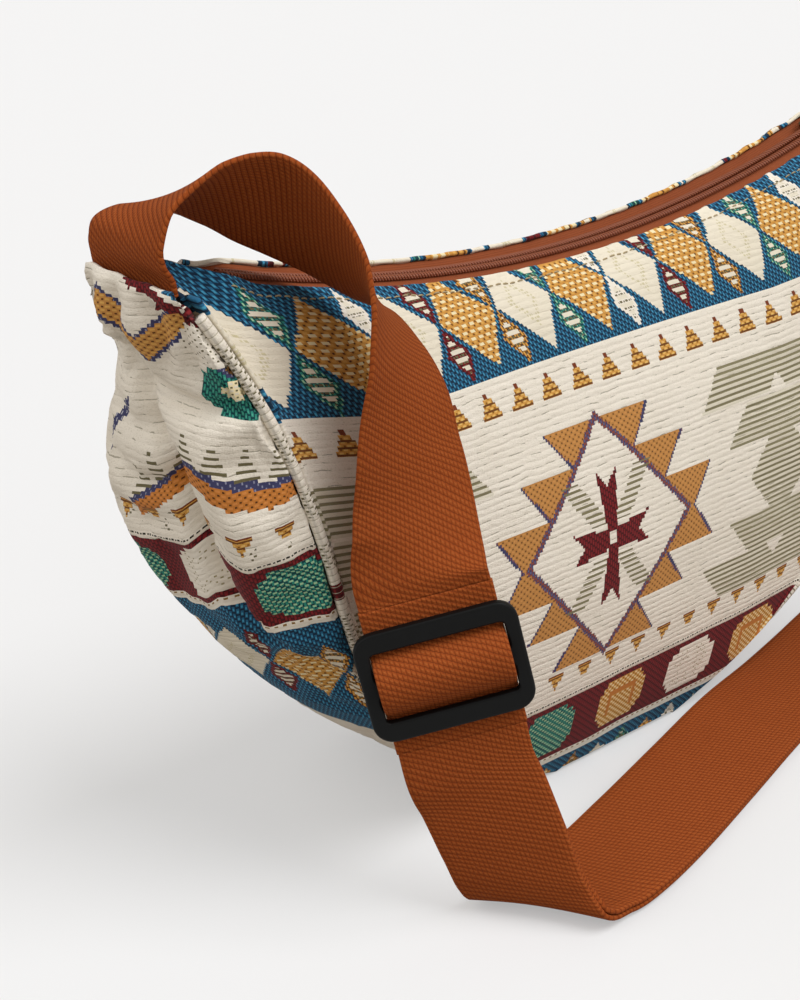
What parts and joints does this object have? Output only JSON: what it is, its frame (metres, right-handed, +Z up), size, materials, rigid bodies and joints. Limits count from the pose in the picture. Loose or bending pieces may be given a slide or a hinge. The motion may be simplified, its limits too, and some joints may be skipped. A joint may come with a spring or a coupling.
{
  "type": "belt bag",
  "caption": "Crescent belt bag of patterned woven cloth with piped seams, a coil zip along its curved top edge, and a brown webbing strap with a sliding adjuster and an end ring.",
  "frame": {"origin": "on the ground, in the middle of the bag's flat base", "axes": "+X along the bag towards the end with the ring, -Y out of the front panel, +Z up"},
  "size_m": [0.388, 0.1612, 0.2398],
  "materials": {
    "patterned_cloth": "matte woven",
    "webbing": "matte ribbed",
    "zip_tape": "matte woven",
    "nylon_coil": "satin",
    "slider_metal": "satin",
    "black_plastic": "satin"
  },
  "bodies": {
    "bag": {"front_panel": "patterned_cloth", "back_panel": "patterned_cloth", "gusset": "patterned_cloth", "front_piping": "patterned_cloth", "back_piping": "patterned_cloth", "front_zip_tape": "zip_tape", "back_zip_tape": "zip_tape", "front_zip_coil": "nylon_coil", "back_zip_coil": "nylon_coil", "strap_arch": "webbing", "strap_outer_run": "webbing", "strap_inner_run": "webbing", "ring_tab": "webbing"},
    "zip_slider": {"zip_slider": "slider_metal"},
    "zip_pull": {"zip_pull": "slider_metal"},
    "strap_adjuster": {"strap_adjuster": "black_plastic", "strap_threading": "webbing", "strap_stitched_end": "webbing"},
    "strap_ring": {"strap_ring": "black_plastic", "strap_ring_turn": "webbing"}
  },
  "joints": [
    {"name": "zip_slide", "type": "hinge", "parent": "bag", "child": "zip_slider", "pos_m": [0, 0, 0.682], "axis": [0, 1, 0], "range_deg": [0, 32]},
    {"name": "pull_swing", "type": "hinge", "parent": "zip_slider", "child": "zip_pull", "pos_m": [0.13766, 0, 0.20241], "axis": [0, -1, 0], "range_deg": [0, 170]},
    {"name": "adjuster_slide", "type": "slide", "parent": "bag", "child": "strap_adjuster", "axis": [0.15, -0.1901, -0.9702], "range_m": [-0.025, 0.02], "deforming": ["strap_arch", "strap_outer_run", "strap_inner_run"]},
    {"name": "ring_swing", "type": "hinge", "parent": "bag", "child": "strap_ring", "pos_m": [0.19, 0, 0.2135], "axis": [0, 1, 0], "range_deg": [-60, 10], "deforming": ["strap_outer_run", "strap_inner_run"]}
  ]
}
